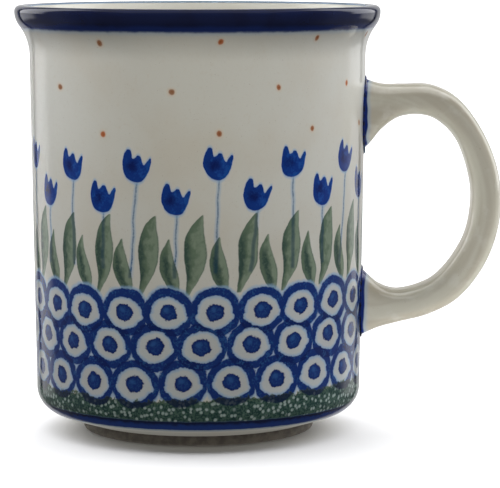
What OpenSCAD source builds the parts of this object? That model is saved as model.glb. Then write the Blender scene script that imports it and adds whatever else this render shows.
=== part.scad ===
// Stoneware mug with a pulled strap handle.
// Frame: +Z up, the table is z = 0, the cup's axis is Z and the handle points along +X.
// Lengths are millimetres. Outside and inside sizes are those of the glazed surfaces.

/* [Cup] */
// Height from the table to the top of the lip
mug_h = 102.2; // [95:0.1:110]
// Radius of the wall at its top, just under the flare
wall_top_r = 40.45; // [39.8:0.05:41]
// Radius of the wall at its bottom, just above the base curve
wall_base_r = 39.3; // [38.8:0.05:39.6]
// Radius of the hollow under the flare
hollow_top_r = 36; // [35:0.1:36.6]
// Radius of the hollow above its rounded floor
hollow_base_r = 35; // [34:0.1:35.4]
// Height of the floor inside
floor_z = 8; // [7:0.1:10]
// Radius of the curve between the floor and the wall inside
floor_curve_r = 9; // [6:0.5:12]

/* [Base and foot] */
// Radius of the curve between the wall and the underside
base_curve_r = 6; // [5:0.1:6.5]
// Height at which that curve meets the wall
base_curve_z = 10.3; // [10:0.1:11.5]
// Slope of the underside, from level, in degrees
underside_slope = 18; // [14:0.5:20]
// Outside radius of the bare foot ring
foot_r = 28; // [26:0.5:29]
// Width of the foot ring
foot_w = 4; // [3:0.5:6]
// Radius that rounds the foot ring's two edges
foot_edge_r = 0.7; // [0.3:0.1:1]
// Height of the well inside the foot ring
well_z = 2; // [1.5:0.1:3]

/* [Lip] */
// Radius of the hollow curve that flares the wall outwards
flare_r = 12; // [11:0.5:13]
// Radius of the full curve that brings the flare back upright
lip_side_r = 5.7; // [5:0.1:6.5]
// Lean of the wall between those two curves, in degrees
flare_lean = 37; // [34:1:40]
// Rounding of the lip's outer edge
lip_out_r = 1.4; // [1.2:0.1:1.6]
// Rounding of the lip's inner edge
lip_in_r = 1.6; // [1.2:0.1:1.8]
// Radius of the curve that opens the hollow towards the lip
hollow_flare_r = 16; // [15:0.5:18]
// Lean of the hollow where it meets the lip's inner edge, in degrees
hollow_lean = 45; // [42:1:46]

/* [Handle joints] */
// Thickness of the clay slip that sticks the handle on
slip_t = 0.6; // [0.4:0.1:0.8]
// Width of both slip joints
joint_w = 15.4; // [15:0.2:17]
// Height of the middle of the upper joint
upper_joint_z = 75.8; // [75.6:0.1:76]
// Height of the upper joint, end to end
upper_joint_h = 19; // [19:0.5:21]
// Height of the middle of the lower joint
lower_joint_z = 30.4; // [30.2:0.1:30.6]
// Height of the lower joint, end to end
lower_joint_h = 17.6; // [17.6:0.2:19]

/* [Glaze] */
// Thickness of the glaze coat
glaze_t = 0.3; // [0.2:0.05:0.4]
// Bare strip between the foot ring and the edge of the outside glaze
bare_strip = 0.6; // [0.4:0.1:1.5]

/* [Hidden] */
$fn = 96;

clay_colour = [0.62, 0.59, 0.53];
cream_colour = [0.83, 0.81, 0.74];
cobalt_colour = [0.10, 0.16, 0.38];

arc_steps = 10;
lip_steps = 6;
handle_steps = 3;
handle_sides = 20;
// Fullness of the handle's section: 2 is an ellipse, more is squarer
handle_fullness = 2.5;

// The flare starts where its curves end exactly at the lip's height.
flare_z = mug_h - lip_out_r - (flare_r + lip_side_r) * sin(flare_lean);
lip_side_x = wall_top_r + flare_r - (flare_r + lip_side_r) * cos(flare_lean);
lip_side_z = mug_h - lip_out_r;
lip_r = lip_side_x + lip_side_r;
hollow_flare_z = mug_h - lip_in_r - (hollow_flare_r - lip_in_r) * sin(hollow_lean);
lip_in_x = hollow_top_r + hollow_flare_r - (hollow_flare_r - lip_in_r) * cos(hollow_lean);
base_end_angle = underside_slope - 90;

// Stations along the handle, from the upper joint round to the lower one. Each gives the outer edge
// [x, z], the inner edge [x, z] and the width. The first and last lie inside the wall.
handle_stations = [
    [[37.5, 85.4], [37.0, 66.0], 15.0],
    [[41.0, 84.0], [41.0, 68.8], 13.8],
    [[44.6, 83.0], [44.4, 72.8], 13.2],
    [[49.6, 83.0], [48.8, 75.7], 13.0],
    [[56.2, 82.8], [54.6, 76.0], 13.2],
    [[62.5, 79.6], [59.0, 73.9], 13.4],
    [[67.8, 72.9], [62.9, 69.4], 13.6],
    [[71.6, 64.5], [65.5, 62.3], 13.8],
    [[73.1, 55.5], [66.4, 55.5], 14.0],
    [[71.8, 46.0], [65.2, 47.6], 14.0],
    [[68.2, 37.9], [61.9, 41.2], 13.8],
    [[62.6, 31.3], [57.6, 36.4], 13.6],
    [[55.6, 27.6], [53.0, 34.1], 13.4],
    [[48.6, 25.8], [48.0, 33.2], 13.3],
    [[44.2, 24.6], [43.9, 34.5], 13.4],
    [[40.8, 23.2], [40.8, 37.1], 13.8],
    [[37.0, 21.2], [37.0, 40.6], 14.8]
];
last_station = len(handle_stations) - 1;

// Points of an arc from one angle to another
function arc(x, z, r, from, to, steps) =
    [for (i = [0 : steps]) let (a = from + (to - from) * i / steps) [x + r * cos(a), z + r * sin(a)]];

function reversed(points) = [for (i = [len(points) - 1 : -1 : 0]) points[i]];

// The surfaces of the cup, each at a depth below the glazed surface, from the foot up and over the lip.
function underside_point(r, depth) =
    let (s = arc(wall_base_r - base_curve_r, base_curve_z, base_curve_r - depth, base_end_angle, 0, 1)[0])
    [r, s[1] - (s[0] - r) * tan(underside_slope)];

function outside(depth) = concat(
    arc(wall_base_r - base_curve_r, base_curve_z, base_curve_r - depth, base_end_angle, 0, arc_steps),
    arc(wall_top_r + flare_r, flare_z, flare_r + depth, 180, 180 - flare_lean, arc_steps));

function over_lip(depth) = concat(
    arc(lip_side_x, lip_side_z, lip_side_r - depth, -flare_lean, 0, lip_steps),
    arc(lip_r - lip_out_r, lip_side_z, lip_out_r - depth, 0, 90, lip_steps),
    arc(lip_in_x, mug_h - lip_in_r, lip_in_r - depth, 90, 180 - hollow_lean, lip_steps));

function hollow(depth) = concat(
    arc(hollow_top_r + hollow_flare_r, hollow_flare_z, hollow_flare_r - depth, 180 - hollow_lean, 180, arc_steps),
    arc(hollow_base_r - floor_curve_r, floor_z + floor_curve_r, floor_curve_r + depth, 0, -90, arc_steps),
    [[0, floor_z - depth]]);

function foot_ring() = concat(
    [[0, well_z], [foot_r - foot_w, well_z]],
    arc(foot_r - foot_w + foot_edge_r, foot_edge_r, foot_edge_r, 180, 270, lip_steps),
    arc(foot_r - foot_edge_r, foot_edge_r, foot_edge_r, 270, 360, lip_steps),
    [underside_point(foot_r, glaze_t)]);

// A coat of glaze between a surface and the clay under it
module coat(surface, clay) {
    rotate_extrude() polygon(concat(surface, reversed(clay)));
}

// A ring that follows the straight wall between two depths; a negative depth stands proud of the glaze.
module wall_ring(shallow, deep) {
    rotate_extrude() polygon([
        [wall_base_r - deep, base_curve_z],
        [wall_base_r - shallow, base_curve_z],
        [wall_top_r - shallow, flare_z],
        [wall_top_r - deep, flare_z]]);
}

// The wall as a solid plug, out to the face where the handle starts
module wall_to_handle() {
    rotate_extrude() polygon([
        [0, base_curve_z],
        [wall_base_r - glaze_t + slip_t, base_curve_z],
        [wall_top_r - glaze_t + slip_t, flare_z],
        [0, flare_z]]);
}

// A prism along +X with round ends, as high and wide as a slip joint
module joint_prism(z, h) {
    translate([0, 0, z]) rotate([90, 0, 90]) linear_extrude(wall_top_r + slip_t + 5) union() {
        square([joint_w, h - joint_w], center = true);
        for (side = [-1, 1]) translate([0, side * (h - joint_w) / 2]) circle(d = joint_w);
    }
}

module slip_joint(z, h) {
    intersection() {
        wall_ring(glaze_t - slip_t, glaze_t);
        joint_prism(z, h);
    }
}

// A smooth curve through four neighbouring values, from the second (t = 0) to the third (t = 1)
function blend(a, b, c, d, t) =
    (2 * b + (c - a) * t + (2 * a - 5 * b + 4 * c - d) * t * t + (3 * b - 3 * c + d - a) * t * t * t) / 2;

function station(i) = handle_stations[max(0, min(last_station, i))];

function along(k, t, part) = blend(station(k - 1)[part], station(k)[part], station(k + 1)[part],
                                   station(k + 2)[part], t);

function full_cos(a) = sign(cos(a)) * pow(abs(cos(a)), 2 / handle_fullness);
function full_sin(a) = sign(sin(a)) * pow(abs(sin(a)), 2 / handle_fullness);

// One ring of points round the handle, grown outwards by a margin
function handle_ring(k, t, margin) =
    let (outer = along(k, t, 0), inner = along(k, t, 1), half_w = along(k, t, 2) / 2 + margin,
         mid = (outer + inner) / 2, half = (outer - inner) / 2 * (1 + 2 * margin / norm(outer - inner)))
    [for (i = [0 : handle_sides - 1]) let (a = 360 * i / handle_sides)
        [mid[0] + half[0] * full_cos(a), half_w * full_sin(a), mid[1] + half[1] * full_cos(a)]];

module handle_sweep(margin) {
    rings = concat(
        [for (k = [0 : last_station - 1], s = [0 : handle_steps - 1]) handle_ring(k, s / handle_steps, margin)],
        [handle_ring(last_station - 1, 1, margin)]);
    n = handle_sides;
    last = len(rings) - 1;
    sides = [for (r = [0 : last - 1], i = [0 : n - 1]) let (j = (i + 1) % n)
        each [[r * n + i, r * n + j, (r + 1) * n + j], [r * n + i, (r + 1) * n + j, (r + 1) * n + i]]];
    ends = [[for (i = [n - 1 : -1 : 0]) i], [for (i = [0 : n - 1]) last * n + i]];
    polyhedron([for (ring = rings) each ring], concat(sides, ends));
}

// The thrown clay: wall, floor and foot ring in one piece
module cup_body() {
    color(clay_colour) rotate_extrude() polygon(concat(
        foot_ring(), outside(glaze_t), over_lip(glaze_t), hollow(glaze_t)));
}

// The strap of clay, cut to sit on its two slip joints
module handle() {
    color(clay_colour) difference() {
        handle_sweep(0);
        wall_to_handle();
    }
}

module upper_slip_joint() {
    color(cobalt_colour) slip_joint(upper_joint_z, upper_joint_h);
}

module lower_slip_joint() {
    color(cobalt_colour) slip_joint(lower_joint_z, lower_joint_h);
}

// Glaze over the outside, from the foot to the flare, left open where the handle is joined
module outside_glaze() {
    color(cream_colour) difference() {
        coat(concat([underside_point(foot_r + bare_strip, 0)], outside(0)),
             concat([underside_point(foot_r + bare_strip, glaze_t)], outside(glaze_t)));
        joint_prism(upper_joint_z, upper_joint_h);
        joint_prism(lower_joint_z, lower_joint_h);
    }
}

module inside_glaze() {
    color(cream_colour) coat(hollow(0), hollow(glaze_t));
}

// The cobalt band over the lip
module rim_glaze() {
    color(cobalt_colour) coat(over_lip(0), over_lip(glaze_t));
}

// Glaze in the well under the floor, inside the foot ring
module well_glaze() {
    color(cream_colour) translate([0, 0, well_z - glaze_t]) cylinder(r = foot_r - foot_w - bare_strip, h = glaze_t);
}

module handle_glaze() {
    color(cream_colour) difference() {
        handle_sweep(glaze_t);
        handle_sweep(0);
        wall_to_handle();
    }
}

cup_body();
handle();
upper_slip_joint();
lower_slip_joint();
outside_glaze();
inside_glaze();
rim_glaze();
well_glaze();
handle_glaze();
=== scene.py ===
"""A stoneware mug with a cobalt lip and hand-stamped tulips, leaves and rings under a clear glaze."""

import math

import bpy
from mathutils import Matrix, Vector, noise


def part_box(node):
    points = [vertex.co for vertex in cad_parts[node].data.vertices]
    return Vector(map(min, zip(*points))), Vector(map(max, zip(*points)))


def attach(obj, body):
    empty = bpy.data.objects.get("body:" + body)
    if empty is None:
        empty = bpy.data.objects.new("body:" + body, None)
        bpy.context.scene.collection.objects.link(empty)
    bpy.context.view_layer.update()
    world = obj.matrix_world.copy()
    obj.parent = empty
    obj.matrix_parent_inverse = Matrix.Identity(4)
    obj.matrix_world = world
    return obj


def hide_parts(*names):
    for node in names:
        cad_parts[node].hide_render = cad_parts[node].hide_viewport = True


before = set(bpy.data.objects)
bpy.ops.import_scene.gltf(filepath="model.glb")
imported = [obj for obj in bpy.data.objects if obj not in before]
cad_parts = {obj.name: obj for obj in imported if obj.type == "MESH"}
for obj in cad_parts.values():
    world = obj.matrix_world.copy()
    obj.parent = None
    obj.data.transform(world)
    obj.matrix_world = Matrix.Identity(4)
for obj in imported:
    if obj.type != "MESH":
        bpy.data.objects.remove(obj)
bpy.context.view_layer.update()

MM = 0.001
SEGMENTS = 256

# The cup's outline, in millimetres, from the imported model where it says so.
MUG_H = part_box("rim_glaze")[1].z / MM
LIP_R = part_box("rim_glaze")[1].x / MM
GLAZE = 0.3
SLIP = 0.6
WALL_TOP_R = 40.45
WALL_BASE_R = 39.3
HOLLOW_TOP_R = 36.0
HOLLOW_BASE_R = 35.0
FLOOR_Z = 8.0
FLOOR_CURVE_R = 9.0
BASE_CURVE_R = 6.0
BASE_CURVE_Z = 10.3
UNDERSIDE_SLOPE = 18.0
FOOT_R = 28.0
FOOT_W = 4.0
FOOT_EDGE_R = 0.7
WELL_Z = 2.0
BARE_STRIP = 0.6
FLARE_R = 12.0
LIP_SIDE_R = 5.7
FLARE_LEAN = 37.0
LIP_OUT_R = 1.4
LIP_IN_R = 1.6
HOLLOW_FLARE_R = 16.0
HOLLOW_LEAN = 45.0
LIP_SIDE_Z = MUG_H - LIP_OUT_R
LIP_SIDE_X = LIP_R - LIP_SIDE_R
FLARE_Z = LIP_SIDE_Z - (FLARE_R + LIP_SIDE_R) * math.sin(math.radians(FLARE_LEAN))

# The slip joints: the height of the middle and the height of each; both have the same width.
JOINT_W = 15.4
UPPER_JOINT = (75.8, 19.0)
LOWER_JOINT = (30.4, 17.6)

# Stations along the handle: outer edge (x, z), inner edge (x, z) and width, as in the CAD handle.
HANDLE = [
    ((37.5, 85.4), (37.0, 66.0), 15.0),
    ((41.0, 84.0), (41.0, 68.8), 13.8),
    ((44.6, 83.0), (44.4, 72.8), 13.2),
    ((49.6, 83.0), (48.8, 75.7), 13.0),
    ((56.2, 82.8), (54.6, 76.0), 13.2),
    ((62.5, 79.6), (59.0, 73.9), 13.4),
    ((67.8, 72.9), (62.9, 69.4), 13.6),
    ((71.6, 64.5), (65.5, 62.3), 13.8),
    ((73.1, 55.5), (66.4, 55.5), 14.0),
    ((71.8, 46.0), (65.2, 47.6), 14.0),
    ((68.2, 37.9), (61.9, 41.2), 13.8),
    ((62.6, 31.3), (57.6, 36.4), 13.6),
    ((55.6, 27.6), (53.0, 34.1), 13.4),
    ((48.6, 25.8), (48.0, 33.2), 13.3),
    ((44.2, 24.6), (43.9, 34.5), 13.4),
    ((40.8, 23.2), (40.8, 37.1), 13.8),
    ((37.0, 21.2), (37.0, 40.6), 14.8),
]
HANDLE_FULLNESS = 2.5
HANDLE_SIDES = 64
HANDLE_RINGS = 140


# ---------------------------------------------------------------- outlines

def arc(x, z, r, start, end, steps):
    """Points of an arc in the (radius, height) plane, by angles in degrees."""
    angles = [math.radians(start + (end - start) * i / steps) for i in range(steps + 1)]
    return [(x + r * math.cos(a), z + r * math.sin(a)) for a in angles]


def line(start, end, steps):
    """Points between two ends, without the ends themselves."""
    return [tuple(a + (b - a) * i / steps for a, b in zip(start, end)) for i in range(1, steps)]


def joined(*curves):
    """Curves one after another, with a shared end kept once."""
    points = []
    for point in (p for curve in curves for p in curve):
        if not points or math.dist(points[-1], point) > 0.001:
            points.append(point)
    return points


def base_curve(depth):
    return arc(WALL_BASE_R - BASE_CURVE_R, BASE_CURVE_Z, BASE_CURVE_R - depth, UNDERSIDE_SLOPE - 90, 0, 16)


def underside_point(r, depth):
    x, z = base_curve(depth)[0]
    return r, z - (x - r) * math.tan(math.radians(UNDERSIDE_SLOPE))


def outside(depth):
    """The outside from the underside's edge up to the cobalt band, at a depth under the glaze's surface."""
    base = base_curve(depth)
    flare = arc(WALL_TOP_R + FLARE_R, FLARE_Z, FLARE_R + depth, 180, 180 - FLARE_LEAN, 14)
    return joined(base, line(base[-1], flare[0], 60), flare)


def over_lip(depth):
    return joined(
        arc(LIP_SIDE_X, LIP_SIDE_Z, LIP_SIDE_R - depth, -FLARE_LEAN, 0, 10),
        arc(LIP_R - LIP_OUT_R, LIP_SIDE_Z, LIP_OUT_R - depth, 0, 90, 10),
        arc(lip_in_x(), MUG_H - LIP_IN_R, LIP_IN_R - depth, 90, 180 - HOLLOW_LEAN, 8))


def lip_in_x():
    return HOLLOW_TOP_R + HOLLOW_FLARE_R - (HOLLOW_FLARE_R - LIP_IN_R) * math.cos(math.radians(HOLLOW_LEAN))


def hollow(depth):
    flare_z = MUG_H - LIP_IN_R - (HOLLOW_FLARE_R - LIP_IN_R) * math.sin(math.radians(HOLLOW_LEAN))
    flare = arc(HOLLOW_TOP_R + HOLLOW_FLARE_R, flare_z, HOLLOW_FLARE_R - depth, 180 - HOLLOW_LEAN, 180, 14)
    floor = arc(HOLLOW_BASE_R - FLOOR_CURVE_R, FLOOR_Z + FLOOR_CURVE_R, FLOOR_CURVE_R + depth, 0, -90, 14)
    centre = (0.0, FLOOR_Z - depth)
    return joined(flare, line(flare[-1], floor[0], 40), floor, line(floor[-1], centre, 10), [centre])


def foot_ring():
    inner_r = FOOT_R - FOOT_W
    return joined(
        [(0.0, WELL_Z), (inner_r, WELL_Z)],
        arc(inner_r + FOOT_EDGE_R, FOOT_EDGE_R, FOOT_EDGE_R, 180, 270, 6),
        arc(FOOT_R - FOOT_EDGE_R, FOOT_EDGE_R, FOOT_EDGE_R, 270, 360, 6),
        [underside_point(FOOT_R, GLAZE)])


def wall_face(z):
    """Radius of the glazed wall at a height on its straight part."""
    return WALL_BASE_R + (WALL_TOP_R - WALL_BASE_R) * (z - BASE_CURVE_Z) / (FLARE_Z - BASE_CURVE_Z)


# ---------------------------------------------------------------- meshes

def hand_thrown(x, y, z):
    """The slight unevenness of a hand-thrown cup, which only ever draws the surface inwards."""
    r = math.hypot(x, y)
    if r < 1:
        return x, y, z
    unit = Vector((x / r, y / r, 0))
    swell = 0.5 + 0.5 * noise.noise(unit * 0.9 + Vector((0, 0, z * 0.011)))
    throwing = 0.5 + 0.5 * noise.noise(unit * 0.35 + Vector((7, 3, z * 0.09)))
    inward = 0.10 * swell + 0.05 * throwing
    return x * (1 - inward / r), y * (1 - inward / r), z


def build(name, points, faces, sharp=35):
    """A mesh object from points in millimetres, shaded smooth but for its sharp edges."""
    mesh = bpy.data.meshes.new(name)
    mesh.from_pydata([tuple(c * MM for c in p) for p in points], [], faces)
    mesh.polygons.foreach_set("use_smooth", [True] * len(mesh.polygons))
    mesh.set_sharp_from_angle(angle=math.radians(sharp))
    mesh.update()
    piece = bpy.data.objects.new(name, mesh)
    bpy.context.scene.collection.objects.link(piece)
    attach(piece, "root")
    return piece


def revolve(name, outline, closed):
    """Turns an outline about the cup's axis. A closed outline comes back to its start; an open one
    starts and ends on the axis."""
    points, rings = [], []
    for r, z in outline:
        if r < 1e-6:
            rings.append([len(points)] * SEGMENTS)
            points.append((0, 0, z))
            continue
        rings.append(range(len(points), len(points) + SEGMENTS))
        for i in range(SEGMENTS):
            a = 2 * math.pi * i / SEGMENTS
            points.append(hand_thrown(r * math.cos(a), r * math.sin(a), z))
    faces = []
    pairs = list(zip(rings, rings[1:])) + ([(rings[-1], rings[0])] if closed else [])
    for low, high in pairs:
        for i in range(SEGMENTS):
            j = (i + 1) % SEGMENTS
            face = [low[i], low[j], high[j], high[i]]
            face = [v for k, v in enumerate(face) if v != face[k - 1]]
            if len(face) > 2:
                faces.append(face)
    return build(name, points, faces)


def coat(name, surface, under):
    """A coat of glaze between its surface and the clay."""
    return revolve(name, surface + under[::-1], closed=True)


def spline(a, b, c, d, t):
    """A smooth curve through four values, from the second at t = 0 to the third at t = 1."""
    square = (2 * a - 5 * b + 4 * c - d) * t * t
    cube = (3 * b - 3 * c + d - a) * t ** 3
    return (2 * b + (c - a) * t + square + cube) / 2


def full(value):
    return math.copysign(abs(value) ** (2 / HANDLE_FULLNESS), value)


def handle_point(side, t, margin):
    """A point of the handle's surface: side goes round it in turns, t counts the stations."""
    k = min(int(t), len(HANDLE) - 2)
    near = [HANDLE[max(0, min(len(HANDLE) - 1, k + i))] for i in (-1, 0, 1, 2)]
    outer, inner = (Vector([spline(*(s[part][c] for s in near), t - k) for c in (0, 1)]) for part in (0, 1))
    half_w = spline(*(s[2] for s in near), t - k) / 2 + margin
    middle = (outer + inner) / 2
    half = (outer - inner) / 2 * (1 + 2 * margin / (outer - inner).length)
    turn = 2 * math.pi * side
    across = middle + half * full(math.cos(turn))
    return across.x, -half_w * full(math.sin(turn)), across.y


def wall_crossing(side, inside_t, outside_t, margin):
    """Where a line along the handle leaves the face of its slip joint."""
    for _ in range(30):
        t = (inside_t + outside_t) / 2
        x, y, z = handle_point(side, t, margin)
        if math.hypot(x, y) < wall_face(z) - GLAZE + SLIP:
            inside_t = t
        else:
            outside_t = t
    return outside_t


def handle_rings(margin):
    """Rings of points from the upper joint's face round to the lower one's."""
    lines = []
    for i in range(HANDLE_SIDES):
        side = i / HANDLE_SIDES
        start = wall_crossing(side, 0, 3, margin)
        end = wall_crossing(side, len(HANDLE) - 1, len(HANDLE) - 4, margin)
        steps = [start + (end - start) * k / HANDLE_RINGS for k in range(HANDLE_RINGS + 1)]
        lines.append([handle_point(side, t, margin) for t in steps])
    return list(zip(*lines))


def tube_faces(rings, first, flip):
    """Faces round a tube of rings whose points start at an index."""
    faces = []
    for r in range(rings - 1):
        for i in range(HANDLE_SIDES):
            j = (i + 1) % HANDLE_SIDES
            face = [first + r * HANDLE_SIDES + i, first + r * HANDLE_SIDES + j,
                    first + (r + 1) * HANDLE_SIDES + j, first + (r + 1) * HANDLE_SIDES + i]
            faces.append(face[::-1] if flip else face)
    return faces


def clay_handle():
    rings = handle_rings(0)
    points = [p for ring in rings for p in ring]
    last = len(points) - HANDLE_SIDES
    ends = [list(range(HANDLE_SIDES))[::-1], list(range(last, len(points)))]
    return build("clay_handle", points, tube_faces(len(rings), 0, False) + ends)


def glazed_handle():
    outer, inner = handle_rings(GLAZE), handle_rings(0)
    points = [p for ring in outer + inner for p in ring]
    start = len(outer) * HANDLE_SIDES
    faces = tube_faces(len(outer), 0, False) + tube_faces(len(inner), start, True)
    last = (len(outer) - 1) * HANDLE_SIDES
    for i in range(HANDLE_SIDES):
        j = (i + 1) % HANDLE_SIDES
        faces.append([j, i, start + i, start + j])
        faces.append([last + i, last + j, start + last + j, start + last + i])
    return build("handle_glaze_coat", points, faces)


def slip_pad(name, middle, height):
    """The slip between handle and wall: a pad with round ends that follows the wall, its edge rounded."""
    sides = 96
    levels = [(-GLAZE, 0.0), (0.0, 0.0), (0.18, 0.06), (SLIP - GLAZE, 0.24)]
    straight = (height - JOINT_W) / 2
    points = []
    for proud, inset in levels:
        for i in range(sides):
            a = 2 * math.pi * (i + 0.5) / sides
            y = (JOINT_W / 2 - inset) * math.cos(a)
            z = middle + (JOINT_W / 2 - inset) * math.sin(a) + math.copysign(straight, math.sin(a))
            r = wall_face(z) + proud
            points.append((math.sqrt(r * r - y * y), y, z))
    faces = [list(range(sides))[::-1], list(range((len(levels) - 1) * sides, len(levels) * sides))]
    for level in range(len(levels) - 1):
        low, high = level * sides, (level + 1) * sides
        for i in range(sides):
            j = (i + 1) % sides
            faces.append([low + i, low + j, high + j, high + i])
    return build(name, points, faces)


# ---------------------------------------------------------------- the pieces

clay_outline = joined(foot_ring(), outside(GLAZE), over_lip(GLAZE), hollow(GLAZE))
clay = revolve("clay_cup", clay_outline, False)
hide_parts("cup_body")

edge = FOOT_R + BARE_STRIP
outer_coat = coat("outside_glaze_coat", joined([underside_point(edge, 0)], outside(0)),
                  joined([underside_point(edge, GLAZE)], outside(GLAZE)))
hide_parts("outside_glaze")

inner_coat = coat("inside_glaze_coat", hollow(0), hollow(GLAZE))
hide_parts("inside_glaze")

rim_coat = coat("rim_glaze_coat", over_lip(0), over_lip(GLAZE))
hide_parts("rim_glaze")

well_r = FOOT_R - FOOT_W - BARE_STRIP
well_coat = revolve("well_glaze_coat", [(0.0, WELL_Z - GLAZE), (well_r, WELL_Z - GLAZE), (well_r, WELL_Z),
                                        (0.0, WELL_Z)], False)
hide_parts("well_glaze")

handle_core = clay_handle()
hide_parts("handle")
handle_coat = glazed_handle()
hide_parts("handle_glaze")

upper_pad = slip_pad("upper_slip_pad", *UPPER_JOINT)
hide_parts("upper_slip_joint")
lower_pad = slip_pad("lower_slip_pad", *LOWER_JOINT)
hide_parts("lower_slip_joint")


# ---------------------------------------------------------------- painting with nodes

class Value:
    """A number that a material's nodes work out at each point of a surface."""

    def __init__(self, paint, socket):
        self.paint = paint
        self.socket = socket

    def __add__(self, other):
        return self.paint.math("ADD", self, other)

    def __radd__(self, other):
        return self.paint.math("ADD", other, self)

    def __sub__(self, other):
        return self.paint.math("SUBTRACT", self, other)

    def __rsub__(self, other):
        return self.paint.math("SUBTRACT", other, self)

    def __mul__(self, other):
        return self.paint.math("MULTIPLY", self, other)

    def __rmul__(self, other):
        return self.paint.math("MULTIPLY", other, self)

    def __truediv__(self, other):
        return self.paint.math("DIVIDE", self, other)

    def __neg__(self):
        return self.paint.math("MULTIPLY", self, -1.0)


class Nodes:
    """Adds nodes to a tree, step by step."""

    def __init__(self, tree):
        self.tree = tree

    def node(self, kind, **settings):
        node = self.tree.nodes.new("ShaderNode" + kind)
        for key, value in settings.items():
            setattr(node, key, value)
        return node

    def feed(self, socket, value):
        if isinstance(value, Value):
            value = value.socket
        if isinstance(value, bpy.types.NodeSocket):
            self.tree.links.new(value, socket)
        elif isinstance(value, tuple):
            socket.default_value = (*value, 1)
        else:
            socket.default_value = value

    def math(self, operation, *inputs):
        node = self.node("Math", operation=operation)
        for socket, value in zip(node.inputs, inputs):
            self.feed(socket, value)
        return Value(self, node.outputs[0])

    def size(self, value):
        return self.math("ABSOLUTE", value)

    def most(self, a, b):
        return self.math("MAXIMUM", a, b)

    def length(self, x, y):
        return self.math("SQRT", x * x + y * y)

    def fade(self, value, start, end, low=0.0, high=1.0):
        """Goes smoothly from low at start to high at end, and stays there."""
        node = self.node("MapRange", interpolation_type="SMOOTHSTEP")
        for socket, given in zip(node.inputs, (value, start, end, low, high)):
            self.feed(socket, given)
        return Value(self, node.outputs[0])

    def outline(self, value, points):
        """A curve through a stamp's own points, read at a value."""
        (first, _), (last, _) = points[0], points[-1]
        low, high = min(y for _, y in points), max(y for _, y in points)
        node = self.node("FloatCurve")
        curve = node.mapping.curves[0]
        spots = [((x - first) / (last - first), (y - low) / (high - low)) for x, y in points]
        curve.points[0].location = spots[0]
        curve.points[1].location = spots[-1]
        for spot in spots[1:-1]:
            curve.points.new(*spot)
        node.mapping.update()
        self.feed(node.inputs["Value"], (value - first) / (last - first))
        return Value(self, node.outputs[0]) * (high - low) + low


class Paint(Nodes):
    """Builds a material in millimetres of the object's own frame."""

    def __init__(self, name):
        self.material = bpy.data.materials.new(name)
        self.material.use_nodes = True
        super().__init__(self.material.node_tree)
        self.shader = self.tree.nodes["Principled BSDF"]
        scaled = self.node("VectorMath", operation="SCALE")
        self.feed(scaled.inputs[0], self.node("TexCoord").outputs["Object"])
        scaled.inputs["Scale"].default_value = 1 / MM
        self.place = scaled.outputs[0]
        split = self.node("SeparateXYZ")
        self.feed(split.inputs[0], self.place)
        self.x, self.y, self.z = (Value(self, split.outputs[i]) for i in range(3))

    def mix(self, under, over, share):
        """One colour laid over another."""
        node = self.node("Mix", data_type="RGBA")
        for index, value in ((0, share), (6, under), (7, over)):
            self.feed(node.inputs[index], value)
        return node.outputs[2]

    def grain(self, scale, detail=2.0, stretch=(1, 1, 1), roughness=0.5):
        """Soft noise from about 0.3 to 0.7; scale is in cycles per millimetre."""
        return Value(self, self.noise_node(scale, detail, stretch, roughness).outputs[0])

    def wander(self, scale, detail=1.0):
        """Three soft noises about nought, for hand-made edges."""
        split = self.node("SeparateXYZ")
        self.feed(split.inputs[0], self.noise_node(scale, detail, (1, 1, 1), 0.5).outputs[1])
        return [Value(self, split.outputs[i]) - 0.5 for i in range(3)]

    def noise_node(self, scale, detail, stretch, roughness):
        place = self.place
        if stretch != (1, 1, 1):
            squeezed = self.node("VectorMath", operation="MULTIPLY")
            self.feed(squeezed.inputs[0], place)
            squeezed.inputs[1].default_value = stretch
            place = squeezed.outputs[0]
        node = self.node("TexNoise")
        self.feed(node.inputs["Vector"], place)
        node.inputs["Scale"].default_value = scale
        node.inputs["Detail"].default_value = detail
        node.inputs["Roughness"].default_value = roughness
        return node

    def chances(self, number, seed):
        """Three numbers from -0.5 to 0.5 that are the same all over one stamp."""
        joined_up = self.node("CombineXYZ")
        self.feed(joined_up.inputs[0], number)
        joined_up.inputs[1].default_value = seed
        node = self.node("TexWhiteNoise", noise_dimensions="2D")
        self.feed(node.inputs["Vector"], joined_up.outputs[0])
        split = self.node("SeparateColor")
        self.feed(split.inputs[0], node.outputs["Color"])
        return [Value(self, split.outputs[i]) - 0.5 for i in range(3)]

    def finish(self, colour, roughness, height=None, depth=0.02, ior=1.5):
        self.feed(self.shader.inputs["Base Color"], colour)
        self.feed(self.shader.inputs["Roughness"], roughness)
        self.shader.inputs["IOR"].default_value = ior
        if height is not None:
            bump = self.node("Bump")
            bump.inputs["Distance"].default_value = depth * MM
            self.feed(bump.inputs["Height"], height)
            self.feed(self.shader.inputs["Normal"], bump.outputs[0])
        return self.material


# ---------------------------------------------------------------- the fired colours

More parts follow.
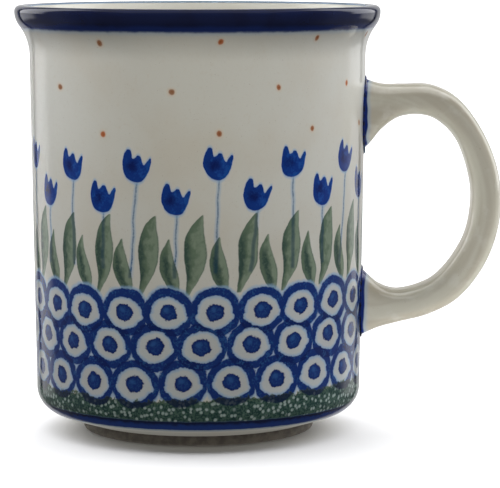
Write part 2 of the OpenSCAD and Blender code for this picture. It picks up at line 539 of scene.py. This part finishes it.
CREAM = (0.615, 0.60, 0.525)
CREAM_WARM = (0.57, 0.52, 0.42)
SPECK = (0.30, 0.22, 0.14)
COBALT = (0.004, 0.033, 0.205)
COBALT_THIN = (0.012, 0.080, 0.33)
NAVY = (0.0015, 0.009, 0.085)
INK = (0.005, 0.007, 0.028)
BLEED = (0.27, 0.43, 0.62)
STEM = (0.15, 0.215, 0.29)
STEM_END_BLUE = (0.04, 0.12, 0.24)
STROKE = (0.0075, 0.031, 0.165)
STROKE_THIN = (0.024, 0.092, 0.28)
STROKE_DOUBLE = (0.004, 0.015, 0.10)
STROKE_INKED = (0.003, 0.010, 0.045)
LEAF = (0.100, 0.154, 0.096)
LEAF_PALE = (0.200, 0.260, 0.180)
LEAF_DARK = (0.024, 0.060, 0.048)
LEAF_CROSSED = (0.018, 0.050, 0.085)
ORANGE = (0.42, 0.115, 0.030)
ORANGE_BROWN = (0.27, 0.125, 0.058)
ORANGE_DARK = (0.22, 0.055, 0.018)
ORANGE_BLEED = (0.66, 0.47, 0.30)
SPONGE = (0.016, 0.046, 0.042)
SPONGE_MID = (0.062, 0.115, 0.088)
SPONGE_PALE = (0.095, 0.140, 0.080)
SPONGE_DOT = (0.33, 0.41, 0.37)
BAND = (0.012, 0.043, 0.215)
BAND_DARK = (0.007, 0.013, 0.052)
LIP = (0.006, 0.011, 0.047)
LIP_EDGE = (0.010, 0.028, 0.15)
LIP_INSIDE = (0.30, 0.40, 0.50)
JOINT_BLUE = (0.004, 0.018, 0.14)
HANDLE_PALE = (0.56, 0.54, 0.45)
HANDLE_BROWN = (0.40, 0.35, 0.27)
CLAY = (0.115, 0.100, 0.078)
CLAY_PALE = (0.19, 0.165, 0.13)
CLAY_DARK = (0.05, 0.04, 0.03)

# The decoration is laid out on the wall as it would unroll: along it in millimetres from the front
# towards the handle, and up it in millimetres from the table. A row is given by its height, how many
# stamps it has and the angle of one of them.
ROUND = 2 * math.pi * 40.0
TURN = 360.0
DRIFT = 0.6
DRIFT_PHASE = 30.0
DOT_ROWS = [(94.9, 9, 8.2), (84.2, 9, -8.6), (74.2, 9, 8.0)]
# The dots crowd together towards the handle and spread out on the other side of the cup.
DOT_CROWD = 12.3
DOT_CROWD_AT = -13.0
TULIPS = (27, -6.7)
TULIP_LOW = 59.9
TULIP_HIGH = 67.2
STEM_FOOT = 42.3
LEAF_COUNT = 22
LEAF_FOOT = 37.4
BIG_LEAF = (18.4, -0.4)
SMALL_LEAF = (13.4, 7.2)
RING_ROWS = [(33.4, 23, 5.7), (25.5, 22, 1.5), (17.0, 22, -5.4)]
RING_OUTSIDE = 5.65
RING_WIDENING = 0.93
RING_NARROWING = 0.955
SPONGE_TOP = 13.1
BAND_TOP = 7.75
BAND_FOOT = 5.45

# A tulip stamp, from its own middle: the petals' edge above and the cup's edge below.
TULIP_TOP = [(-3.5, -0.2), (-3.2, 1.7), (-2.65, 3.2), (-2.1, 3.75), (-1.65, 3.55), (-1.3, 2.6),
             (-1.0, 1.75), (-0.4, 2.0), (0.15, 2.5), (0.6, 2.45), (1.0, 1.8), (1.4, 0.65), (1.65, 0.4),
             (2.1, 0.9), (2.6, 1.5), (3.05, 1.95), (3.35, 1.9), (3.5, 1.2)]
TULIP_FOOT = [(-3.5, -0.2), (-3.3, -1.3), (-2.9, -2.3), (-2.2, -3.1), (-1.2, -3.6), (-0.1, -3.75),
              (0.9, -3.5), (1.8, -2.8), (2.5, -1.7), (3.0, -0.4), (3.3, 0.7), (3.5, 1.2)]
# The two leaves' edges by height, from 0 at the foot to 1 at the tip
BIG_LEAF_LEFT = [(0, -2.35), (0.07, -2.2), (0.2, -1.95), (0.36, -2.15), (0.52, -2.4), (0.69, -2.1),
                 (0.83, -1.1), (0.93, 0.35), (1, 1.75)]
BIG_LEAF_RIGHT = [(0, -1.5), (0.07, -0.75), (0.2, 0.75), (0.36, 2.15), (0.52, 2.6), (0.69, 2.45),
                  (0.83, 2.15), (0.93, 2.05), (1, 2.05)]
SMALL_LEAF_LEFT = [(0, 1.4), (0.08, 0.5), (0.23, -1.05), (0.38, -2.0), (0.52, -2.35), (0.67, -2.3),
                   (0.8, -1.85), (0.9, -1.1), (1, -0.3)]
SMALL_LEAF_RIGHT = [(0, 1.9), (0.08, 2.25), (0.23, 2.45), (0.38, 2.2), (0.52, 1.6), (0.67, 0.85),
                    (0.8, 0.35), (0.9, 0.1), (1, 0.0)]
# The hand-cut ring stamp's inside edge, by angle in half turns from the right
RING_INSIDE = [(-1, 4.5), (-0.93, 4.9), (-0.86, 4.6), (-0.75, 4.3), (-0.5, 4.05), (-0.25, 4.2),
               (-0.15, 4.5), (-0.09, 4.9), (-0.03, 4.45), (0.15, 4.2), (0.3, 3.95), (0.5, 3.9),
               (0.7, 4.15), (0.85, 4.4), (1, 4.5)]


class Wall(Paint):
    """Paints the outside wall, with places along it and up it that a hand's tremor has shifted a little."""

    def __init__(self, name):
        super().__init__(name)
        angle = self.math("ARCTAN2", self.x, -self.y)
        angle = self.math("WRAP", angle, math.pi / 2, -1.5 * math.pi)
        drift = self.math("SINE", angle * 2.0 - math.radians(DRIFT_PHASE)) * DRIFT
        crowding = 1.0 - self.math("COSINE", angle - math.radians(DOT_CROWD_AT))
        self.true_along = angle * (ROUND / (2 * math.pi))
        gentle = self.wander(0.16, 1)
        broad = self.wander(0.5, 1)
        fine = self.wander(1.7, 1)
        self.along = self.true_along + gentle[0] * 1.1 + fine[0] * 0.16
        self.up = self.z - drift + gentle[1] * 1.1 + fine[1] * 0.16
        self.rough_along = self.along + broad[0] * 0.75 + fine[0] * 0.28
        self.rough_up = self.up + broad[1] * 0.75 + fine[1] * 0.28
        self.crowded = self.along + crowding * DOT_CROWD
        self.pooling = self.grain(0.55, 3)
        self.mottle = self.grain(2.2, 3)

    def stamps(self, along, count, phase):
        """The number of the nearest stamp of a row, counted from behind the handle, and the distance
        along the wall from its middle."""
        pitch = ROUND / count
        turns = (along - phase * ROUND / TURN) / pitch
        nearest = self.math("ROUND", turns)
        number = nearest + float(round((phase + 0.75 * TURN) * count / TURN))
        return self.math("FLOORED_MODULO", number, float(count)), (turns - nearest) * pitch

    def inside(self, value, edge, soft=0.16):
        """1 where the value is above the edge, with a soft border."""
        return self.fade(value - edge, -soft, soft)


def tilted(x, y, lean):
    return x - y * lean, y + x * lean


def paint_ground(wall):
    """The glazed clay itself: warm in places, with fine iron specks."""
    colour = wall.mix(CREAM, CREAM_WARM, wall.fade(wall.grain(0.06, 4), 0.38, 0.75, 0.0, 0.55))
    colour = wall.mix(colour, CREAM_WARM, wall.fade(wall.grain(1.1, 2), 0.55, 0.8, 0.0, 0.35))
    return wall.mix(colour, SPECK, wall.fade(wall.grain(3.2, 1), 0.73, 0.80, 0.0, 0.5))


def paint_dots(wall, colour):
    for row, (height, count, phase) in enumerate(DOT_ROWS):
        number, x = wall.stamps(wall.crowded, count, phase)
        shift = wall.chances(number, 3.0 + row)
        r = wall.length(x - shift[0] * 0.5, wall.up - height - shift[1] * 0.6)
        colour = wall.mix(colour, ORANGE_BLEED, wall.fade(r, 1.45, 0.5, 0.0, 0.5))
        orange = wall.mix(ORANGE, ORANGE_BROWN, wall.fade(shift[2], -0.3, 0.4))
        colour = wall.mix(colour, orange, wall.fade(r, 0.87, 0.45, 0.0, 0.95))
        colour = wall.mix(colour, ORANGE_DARK, wall.fade(r + wall.mottle, 0.95, 0.5, 0.0, 0.7))
    return colour


def paint_leaf(wall, colour, size, left, right, pool_at, seed):
    """One leaf of each pair, darker where the paint pooled down its length. Also gives where it is."""
    height, phase = size
    number, x = wall.stamps(wall.along, LEAF_COUNT, phase)
    shift = wall.chances(number, seed)
    x, y = tilted(x - shift[0] * 0.6, wall.up - LEAF_FOOT - shift[1] * 0.8, shift[2] * 0.06)
    tip = y / height
    left_edge, right_edge = wall.outline(tip, left), wall.outline(tip, right)
    across = (x - left_edge) / (right_edge - left_edge + 0.05)
    body = wall.inside(x, left_edge) * wall.inside(right_edge, x) * wall.fade(y, -0.1, 0.3)
    body = body * wall.fade(y, height + 0.1, height - 0.25)
    brushed = wall.grain(0.9, 3, (1.0, 1.0, 0.6))
    light = wall.fade(across + wall.pooling * 1.2 + brushed * 1.2, 1.35, 2.1)
    green = wall.mix(LEAF, LEAF_PALE, light)
    edge = wall.size(across - pool_at - shift[0] * 0.2 + (wall.pooling - 0.5) * 0.5)
    dark = wall.fade(edge, 0.34, 0.02) * wall.fade(wall.size(tip - 0.42), 0.48, 0.16)
    green = wall.mix(green, LEAF_DARK, dark * wall.fade(brushed + wall.mottle, 0.7, 1.1, 0.55, 1.0))
    rim = wall.fade(wall.size(across - 0.5), 0.36, 0.5)
    green = wall.mix(green, LEAF_DARK, rim * wall.fade(wall.mottle + brushed, 0.75, 1.15, 0.15, 0.6))
    return wall.mix(colour, green, body * 0.97), body


def paint_tulips(wall, colour, leaves):
    """The stems go under the leaves' paint, so the leaves are passed in as a function."""
    number, x = wall.stamps(wall.along, *TULIPS)
    shift = wall.chances(number, 21.0)
    high = wall.math("FLOORED_MODULO", number, 2.0)
    middle = high * (TULIP_HIGH - TULIP_LOW) + TULIP_LOW + shift[1] * 0.9
    x = x - shift[0] * 0.5
    y = wall.up - middle
    below = -y - 3.6
    lean = shift[2] * 0.12 + 0.07
    stem = wall.size(x + below * lean - below * below * 0.0011)
    above_foot = wall.fade(wall.up - shift[0] * 2.0, STEM_FOOT - 0.4, STEM_FOOT + 0.4)
    reach = wall.fade(below, 0.0, 0.3) * above_foot
    colour = wall.mix(colour, BLEED, wall.fade(stem, 0.85, 0.3) * reach * 0.42)
    ink = wall.mix(STEM, STEM_END_BLUE, wall.fade(wall.up, 50.0, 43.5))
    inked = wall.fade(stem, 0.33, 0.10) * reach * wall.fade(wall.mottle, 0.3, 0.6, 0.5, 0.95)
    colour = wall.mix(colour, ink, inked)
    colour, on_leaf = leaves(colour)
    crossed = wall.fade(stem, 0.75, 0.2) * reach * on_leaf
    colour = wall.mix(colour, LEAF_CROSSED, crossed * 0.6)
    x, y = tilted(x, y, shift[2] * 0.14)
    top, foot = wall.outline(x, TULIP_TOP), wall.outline(x, TULIP_FOOT)
    span = wall.fade(wall.size(x), 3.6, 3.4)
    head = wall.inside(top, y, 0.14) * wall.inside(y, foot, 0.14) * span
    halo = wall.inside(top + 0.4, y, 0.45) * wall.inside(y, foot - 0.4, 0.45)
    halo = halo * wall.fade(wall.size(x), 4.0, 3.4)
    colour = wall.mix(colour, BLEED, halo * 0.72)
    pool = wall.fade(wall.length(x + 1.2, y + 0.2) + wall.pooling * 2.4 + wall.mottle, 3.7, 1.8)
    thin = wall.fade(wall.pooling + wall.mottle * 0.35 + x * 0.04, 0.60, 0.95, 0.0, 0.7)
    blue = wall.mix(COBALT, COBALT_THIN, thin)
    return wall.mix(colour, wall.mix(blue, NAVY, pool * 0.9), head)


def paint_rings(wall, colour):
    """Three rows of ring stamps, whose strokes merge; where two overlap, the cobalt is twice as thick."""
    discs, cover, depth, dots, dark, lights = 0.0, -9.0, -9.0, 0.0, 0.0, 0.0
    for row, (height, count, phase) in enumerate(RING_ROWS):
        number, x = wall.stamps(wall.rough_along, count, phase)
        shift = wall.chances(number, 41.0 + row)
        x, y = tilted(x - shift[0] * 0.6, wall.rough_up - height - shift[1] * 0.5, shift[2] * 0.25)
        angle = wall.math("ARCTAN2", y, x) * (1 / math.pi)
        within = RING_OUTSIDE - wall.length(x * RING_WIDENING, y)
        discs = discs + wall.inside(within, 0.0, 0.2)
        cover = wall.most(cover, within)
        depth = wall.most(depth, wall.outline(angle, RING_INSIDE) * RING_NARROWING - wall.length(x, y))
        lobes = wall.math("SINE", angle * (5 * math.pi) + number * 1.7) * 0.07
        near = wall.length(x * 0.93, y * 1.02) - lobes + (wall.mottle - 0.5) * 0.6
        dots = wall.most(dots, wall.fade(near, 2.16, 1.84))
        dark = wall.most(dark, wall.fade(near, 2.4, 1.95) * wall.fade(near, 1.25, 1.85))
        lights = wall.most(lights, wall.fade(wall.length(x + 0.45, y - 0.6), 1.0, 0.2))
    strokes = wall.inside(cover, 0.0, 0.2) * wall.inside(0.0, depth)
    two = wall.fade(discs + wall.pooling * 1.6 - 0.8, 1.0, 1.9)
    blue = wall.mix(STROKE, STROKE_DOUBLE, two * 0.9)
    blue = wall.mix(blue, STROKE_THIN, wall.fade(wall.pooling + wall.mottle * 0.8, 0.90, 1.16, 0.0, 0.75))
    colour = wall.mix(colour, BLEED, wall.inside(cover, 0.0) * 0.22)
    colour = wall.mix(colour, BLEED, wall.inside(cover, -0.5, 0.45) * wall.fade(depth, 0.85, 0.0, 0.0, 0.8))
    colour = wall.mix(colour, blue, strokes)
    centre = wall.mix(STROKE, STROKE_THIN, wall.fade(wall.mottle, 0.42, 0.62, 0.0, 0.4))
    centre = wall.mix(centre, STROKE_THIN, lights * 0.8)
    centre = wall.mix(centre, STROKE_DOUBLE, dark * wall.fade(wall.pooling, 0.3, 0.6, 0.3, 0.9))
    return wall.mix(colour, centre, dots), strokes


def paint_sponge(wall, colour, strokes):
    edge = SPONGE_TOP + (wall.pooling - 0.5) * 3.0 + (wall.mottle - 0.5) * 0.9
    sponge = wall.inside(edge, wall.rough_up, 0.25) * wall.inside(wall.z, BAND_FOOT + 1.0)
    flat = wall.node("CombineXYZ")
    wall.feed(flat.inputs[0], wall.along)
    wall.feed(flat.inputs[1], wall.up)
    cells = wall.node("TexVoronoi", voronoi_dimensions="2D")
    wall.feed(cells.inputs["Vector"], flat.outputs[0])
    cells.inputs["Scale"].default_value = 0.74
    spot = Value(wall, cells.outputs["Distance"])
    chance = wall.node("SeparateColor")
    wall.feed(chance.inputs[0], cells.outputs["Color"])
    showing = wall.fade(Value(wall, chance.outputs[0]) + wall.pooling, 0.6, 0.95)
    green = wall.mix(SPONGE, SPONGE_MID, wall.fade(wall.mottle + wall.pooling * 0.5, 0.62, 0.88))
    ragged = wall.rough_up + wall.mottle * 2.0
    green = wall.mix(green, SPONGE_PALE, wall.fade(ragged, SPONGE_TOP, SPONGE_TOP + 1.5))
    dots = wall.fade(spot, 0.40, 0.14) * showing
    dots = dots * wall.fade(wall.rough_up, SPONGE_TOP + 0.3, SPONGE_TOP - 1.2)
    green = wall.mix(green, SPONGE_DOT, dots)
    over_stroke = wall.mix(green, STROKE_INKED, 0.85)
    inked = strokes * wall.fade(wall.up, 10.0, 10.8)
    return wall.mix(wall.mix(colour, green, sponge), over_stroke, sponge * inked)


def paint_bands(wall, colour):
    """The band at the foot, and the soft lower edge of the cobalt lip."""
    level = wall.z + (wall.pooling - 0.5) * 0.35
    foot = wall.inside(level, BAND_FOOT, 0.18) * wall.inside(BAND_TOP, level, 0.2)
    bleed = wall.inside(level, BAND_FOOT - 0.35, 0.3) * wall.inside(BAND_TOP, level, 0.2)
    colour = wall.mix(colour, BLEED, bleed * 0.6)
    blue = wall.mix(BAND, BAND_DARK, wall.fade(level + wall.pooling, 6.9, 7.9))
    colour = wall.mix(colour, blue, foot)
    lip = wall.z + (wall.pooling - 0.5) * 0.5
    colour = wall.mix(colour, BLEED, wall.fade(lip, 95.8, 97.1, 0.0, 0.45))
    return wall.mix(colour, LIP_EDGE, wall.fade(lip, 96.65, 97.3, 0.0, 0.95))


def paint_joints(wall, colour):
    """The cobalt line brushed round each end of the handle."""
    on_handle_side = wall.fade(wall.x, 30, 33)
    for middle, height in (UPPER_JOINT, LOWER_JOINT):
        beyond = wall.most(wall.size(wall.z - middle) - (height - JOINT_W) / 2, 0.0)
        away = wall.length(wall.y, beyond) - JOINT_W / 2 + (wall.mottle - 0.5) * 0.5
        colour = wall.mix(colour, BLEED, wall.fade(away, 1.3, 0.2, 0.0, 0.7) * on_handle_side)
        colour = wall.mix(colour, COBALT, wall.fade(away, 0.65, 0.2) * on_handle_side)
    return colour


def decorated_glaze():
    wall = Wall("decorated_glaze")
    colour = paint_dots(wall, paint_ground(wall))

    def leaves(under):
        under, small = paint_leaf(wall, under, SMALL_LEAF, SMALL_LEAF_LEFT, SMALL_LEAF_RIGHT, 0.40, 31.0)
        under, big = paint_leaf(wall, under, BIG_LEAF, BIG_LEAF_LEFT, BIG_LEAF_RIGHT, 0.09, 32.0)
        return under, wall.most(small, big)

    colour = paint_tulips(wall, colour, leaves)
    colour, strokes = paint_rings(wall, colour)
    colour = paint_sponge(wall, colour, strokes)
    colour = paint_bands(wall, colour)
    colour = paint_joints(wall, colour)
    roughness = wall.fade(wall.pooling, 0.3, 0.7, 0.07, 0.11) + wall.fade(wall.z, 5.4, 4.6, 0.0, 0.32)
    return wall.finish(colour, roughness, wall.grain(0.35, 3), 0.05)


def cream_glaze(name, warmth):
    """Plain glazed clay. Warmth is the share of the browner, thinner glaze."""
    paint = Paint(name)
    colour = paint.mix(CREAM, CREAM_WARM, paint.fade(paint.grain(0.09, 4), 0.35, 0.7, warmth * 0.3, warmth))
    colour = paint.mix(colour, CREAM_WARM, paint.fade(paint.grain(1.1, 2), 0.55, 0.8, 0.0, 0.35))
    colour = paint.mix(colour, SPECK, paint.fade(paint.grain(3.2, 1), 0.73, 0.80, 0.0, 0.5))
    roughness = paint.fade(paint.grain(0.5, 3), 0.3, 0.7, 0.07, 0.12)
    return paint.finish(colour, roughness, paint.grain(0.35, 3), 0.05)


def cobalt_glaze():
    """The lip's cobalt, thick and dark on the side, thin and pale where it runs off the top edge."""
    paint = Paint("cobalt_glaze")
    pool = paint.grain(0.16, 3)
    blue = paint.mix(LIP, INK, paint.fade(pool, 0.40, 0.65, 0.2, 0.7))
    low = paint.fade(paint.z + pool, 99.3, 98.0)
    blue = paint.mix(blue, LIP_EDGE, low * 0.7)
    radius = paint.length(paint.x, paint.y)
    inner = paint.fade(radius + (pool - 0.5) * 0.8, 41.7, 41.1)
    blue = paint.mix(blue, LIP_INSIDE, inner * 0.75)
    return paint.finish(blue, paint.fade(pool, 0.3, 0.7, 0.06, 0.09), paint.grain(0.35, 3), 0.03)


def handle_glaze():
    """Glaze with long, thinner and browner streaks round the handle, and the joints' cobalt at its ends."""
    paint = Paint("handle_glaze")
    across, up = paint.x - 40.0, paint.z - 54.5
    flow = paint.node("CombineXYZ")
    paint.feed(flow.inputs[0], paint.length(across, up))
    paint.feed(flow.inputs[1], paint.y)
    paint.feed(flow.inputs[2], paint.math("ARCTAN2", up, across) * 3.0)
    streaks = []
    for scale in (0.22, 0.75):
        node = paint.node("TexNoise")
        paint.feed(node.inputs["Vector"], flow.outputs[0])
        node.inputs["Scale"].default_value = scale
        streaks.append(Value(paint, node.outputs[0]))
    thin = paint.fade(streaks[0] + streaks[1] * 0.3, 0.5, 0.85, 0.0, 0.6)
    colour = paint.mix(HANDLE_PALE, HANDLE_BROWN, thin)
    colour = paint.mix(colour, CREAM, paint.fade(paint.grain(0.25, 3), 0.52, 0.7, 0.0, 0.5))
    colour = paint.mix(colour, SPECK, paint.fade(paint.grain(2.6, 1), 0.72, 0.79, 0.0, 0.45))
    reach = paint.length(paint.x, paint.y) - wall_face(paint.z) + (paint.grain(0.16, 1) - 0.5) * 1.6
    colour = paint.mix(colour, BLEED, paint.fade(reach, 2.0, 0.7, 0.0, 0.55))
    colour = paint.mix(colour, JOINT_BLUE, paint.fade(reach, 1.0, 0.6))
    return paint.finish(colour, paint.fade(streaks[0], 0.3, 0.7, 0.09, 0.15), streaks[1], 0.02)


def joint_glaze():
    """Cobalt brushed over the slip, dark where it is thick and pale where the brush lifted."""
    paint = Paint("cobalt_slip")
    pool = paint.grain(0.7, 3)
    blue = paint.mix(JOINT_BLUE, INK, paint.fade(pool, 0.35, 0.62))
    (upper, upper_h), (lower, lower_h) = UPPER_JOINT, LOWER_JOINT
    lifted = paint.fade(paint.z + pool * 2.0, upper - upper_h / 2 + 4.0, upper - upper_h / 2 + 1.5)
    lifted = lifted * paint.fade(paint.z, lower + lower_h, lower + lower_h + 2.0)
    blue = paint.mix(blue, BLEED, lifted * 0.9)
    return paint.finish(blue, paint.fade(pool, 0.3, 0.7, 0.08, 0.14), pool, 0.04)


def bare_clay():
    """The unglazed foot: brown-grey stoneware with fine grog and lathe lines."""
    paint = Paint("bare_clay")
    colour = paint.mix(CLAY, CLAY_PALE, paint.fade(paint.grain(0.5, 4), 0.35, 0.7))
    colour = paint.mix(colour, CLAY_DARK, paint.fade(paint.grain(4.5, 2), 0.62, 0.75, 0.0, 0.6))
    lines = paint.grain(2.0, 2, (0.1, 0.1, 2.5))
    return paint.finish(colour, paint.fade(lines, 0.3, 0.7, 0.65, 0.85), lines + paint.grain(5.0, 2), 0.06)


outer_coat.data.materials.append(decorated_glaze())
for piece in (inner_coat, well_coat):
    piece.data.materials.append(cream_glaze("cream_glaze", 0.4))
handle_coat.data.materials.append(handle_glaze())
rim_coat.data.materials.append(cobalt_glaze())
for piece in (upper_pad, lower_pad):
    piece.data.materials.append(joint_glaze())
for piece in (clay, handle_core):
    piece.data.materials.append(bare_clay())


# ---------------------------------------------------------------- the studio

GRIP = [handle_core, handle_coat]
OUTSIDE = [clay, outer_coat, rim_coat, well_coat, upper_pad, lower_pad]
CUP = OUTSIDE + [inner_coat]

# Brightness of the room around the object, level with it and above and below it. The softboxes stand
# at both sides, and the pale table glows below them.
FRONT = 0.08
SIDES = 0.17
BEHIND = 0.6
SOFTBOX = 1.7
TABLE_GLOW = 0.7
ABOVE = 0.1
BELOW = 0.05
DAYLIGHT = (0.95, 0.99, 1.10)
# The soft lamps: brightness of the lamp's face, place, point aimed at, width, height, spread of the
# beam in degrees, colour, what is lit and whether the glaze mirrors the lamp.
WHITE = (1, 1, 1)
LAMPS = {
    "top": (0.3, (0, -0.02, 0.33), (0, -0.02, 0), 0.45, 0.40, 180, WHITE, CUP, True),
    "key": (1.0, (0, -0.40, 0.30), (0, -0.04, 0.08), 0.16, 0.10, 32, WHITE, OUTSIDE, False),
    "left": (0.7, (-0.42, 0.12, 0.28), (0, 0, 0.06), 0.45, 0.45, 180, DAYLIGHT, CUP, False),
    "left_narrow": (0.9, (-0.42, 0.12, 0.26), (-0.02, -0.01, 0.12), 0.14, 0.14, 26, DAYLIGHT, CUP, False),
    "right": (4.0, (0.42, 0.12, 0.28), (0, 0, 0.06), 0.45, 0.45, 180, DAYLIGHT, CUP, False),
    "bounce": (0.28, (0, 0, -0.002), (0, 0, 1), 0.10, 0.10, 180, WHITE, CUP, False),
    "inside": (2.6, (0, -0.15, 0.30), (0, 0.03, 0.09), 0.20, 0.20, 180, WHITE, [inner_coat], False),
    "handle_left": (1.8, (-0.225, 0.08, 0.06), (0.055, 0, 0.055), 0.3, 0.3, 180, WHITE, GRIP, False),
    "handle_right": (2.2, (0.335, 0.08, 0.06), (0.055, 0, 0.055), 0.3, 0.3, 180, WHITE, GRIP, False),
    "handle_behind": (1.0, (0.055, 0.25, 0.06), (0.055, 0, 0.055), 0.6, 0.6, 180, WHITE, GRIP, False),
    "handle_below": (1.5, (0.06, 0.0, -0.02), (0.06, 0.0, 1), 0.30, 0.26, 180, WHITE, GRIP, False),
    "handle_front": (1.6, (0.055, -0.30, 0.10), (0.055, 0, 0.055), 0.2, 0.2, 180, WHITE, GRIP, False),
    "handle_top": (2.0, (0.055, 0.03, 0.30), (0.055, 0.0, 0), 0.3, 0.3, 180, WHITE, GRIP, True),
}
# The floor's own light: its strength, its spread in degrees and the side that it comes from
FLOOR_LIGHT = 7.5
FLOOR_SPREAD = 130
FLOOR_LIGHT_FROM = (0, 0.64, 0.77)
FLOOR_SIDE = 40.0
PAPER = (0.80, 0.80, 0.81)
# The camera: its sensor and lens in millimetres, its place in metres, and how far it looks down from
# level and right of straight ahead, in degrees
SENSOR_WIDTH = 36
CAMERA_LENS = 187.46
CAMERA_PLACE = (0, -0.6275, 0.1174)
CAMERA_DOWN = 6.638
CAMERA_RIGHT = 1.148


def place_lamp(data, place, target, lit):
    """Sets up a lamp that lights only the given objects and is never seen by the camera itself. The
    handle's own lamps are not shaded by the cup."""
    lamp = bpy.data.objects.new(data.name, data)
    lamp.location = place
    lamp.rotation_euler = (Vector(target) - Vector(place)).to_track_quat("-Z", "Y").to_euler()
    lamp.visible_camera = False
    bpy.context.scene.collection.objects.link(lamp)
    only = bpy.data.collections.new(data.name + "_only")
    for thing in lit:
        only.objects.link(thing)
    lamp.light_linking.receiver_collection = only
    if lit == GRIP:
        lamp.light_linking.blocker_collection = only
    return lamp


def soft_lamp(name):
    brightness, place, target, width, height, spread, colour, lit, mirrored = LAMPS[name]
    data = bpy.data.lights.new(name, "AREA")
    data.color = colour
    data.shape = "ELLIPSE" if name == "bounce" else "RECTANGLE"
    data.size = width
    data.size_y = height
    data.spread = math.radians(spread)
    data.energy = brightness * math.pi * width * height
    place_lamp(data, place, target, lit).visible_glossy = mirrored


def room_light(world):
    """A dark room in front, soft walls at the sides and a bright one behind. To the camera it is white."""
    room = Nodes(world.node_tree)
    split = room.node("SeparateXYZ")
    room.feed(split.inputs[0], room.node("TexCoord").outputs["Generated"])
    x, y, z = (Value(room, split.outputs[i]) for i in range(3))
    turn = room.size(room.math("ARCTAN2", x, -y)) * (1 / math.pi)
    front = room.fade(turn, 0.50, 0.36) * FRONT
    sides = room.fade(turn, 0.36, 0.56) * room.fade(turn, 0.83, 0.82) * SIDES
    behind = room.fade(turn, 0.835, 0.87) * BEHIND
    level = (front + sides + behind) * room.fade(z, 0.55, 0.30) * room.fade(z, -0.70, -0.40)
    softbox = room.fade(turn, 0.60, 0.66) * room.fade(turn, 0.822, 0.812) * room.fade(z, -0.03, -0.01)
    softbox = softbox * room.fade(z, 0.85, 0.70) * SOFTBOX
    table = room.fade(turn, 0.66, 0.72) * room.fade(turn, 0.822, 0.812) * room.fade(z, -0.25, -0.16)
    softbox = softbox + table * room.fade(z, -0.01, -0.03) * TABLE_GLOW
    light = level + softbox + room.fade(z, 0.30, 0.55) * ABOVE + room.fade(z, -0.40, -0.70) * BELOW
    seen = Value(room, room.node("LightPath").outputs["Is Camera Ray"])
    background = world.node_tree.nodes["Background"]
    background.inputs["Color"].default_value = (1, 1, 1, 1)
    room.feed(background.inputs["Strength"], light + seen * (1.0 - light))


def studio():
    scene = bpy.context.scene
    scene.view_settings.view_transform = "Standard"
    camera_data = bpy.data.cameras.new("camera")
    camera_data.sensor_width = SENSOR_WIDTH
    camera_data.lens = CAMERA_LENS
    camera = bpy.data.objects.new("camera", camera_data)
    camera.location = CAMERA_PLACE
    camera.rotation_euler = (math.radians(90 - CAMERA_DOWN), 0, math.radians(-CAMERA_RIGHT))
    scene.collection.objects.link(camera)
    scene.camera = camera

    floor_mesh = bpy.data.meshes.new("floor")
    side = FLOOR_SIDE / 2
    corners = [(-side, -side, 0), (side, -side, 0), (side, side, 0), (-side, side, 0)]
    floor_mesh.from_pydata(corners, [], [(0, 1, 2, 3)])
    floor = bpy.data.objects.new("floor", floor_mesh)
    floor.visible_diffuse = False
    floor.visible_glossy = False
    floor.visible_shadow = False
    scene.collection.objects.link(floor)
    paper = Paint("floor")
    floor.data.materials.append(paper.finish(PAPER, 0.9))

    scene.world = bpy.data.worlds.new("studio")
    scene.world.use_nodes = True
    room_light(scene.world)
    for name in LAMPS:
        soft_lamp(name)
    sky_data = bpy.data.lights.new("floor_light", "SUN")
    sky_data.energy = FLOOR_LIGHT
    sky_data.angle = math.radians(FLOOR_SPREAD)
    place_lamp(sky_data, FLOOR_LIGHT_FROM, (0, 0, 0), [floor])


studio()
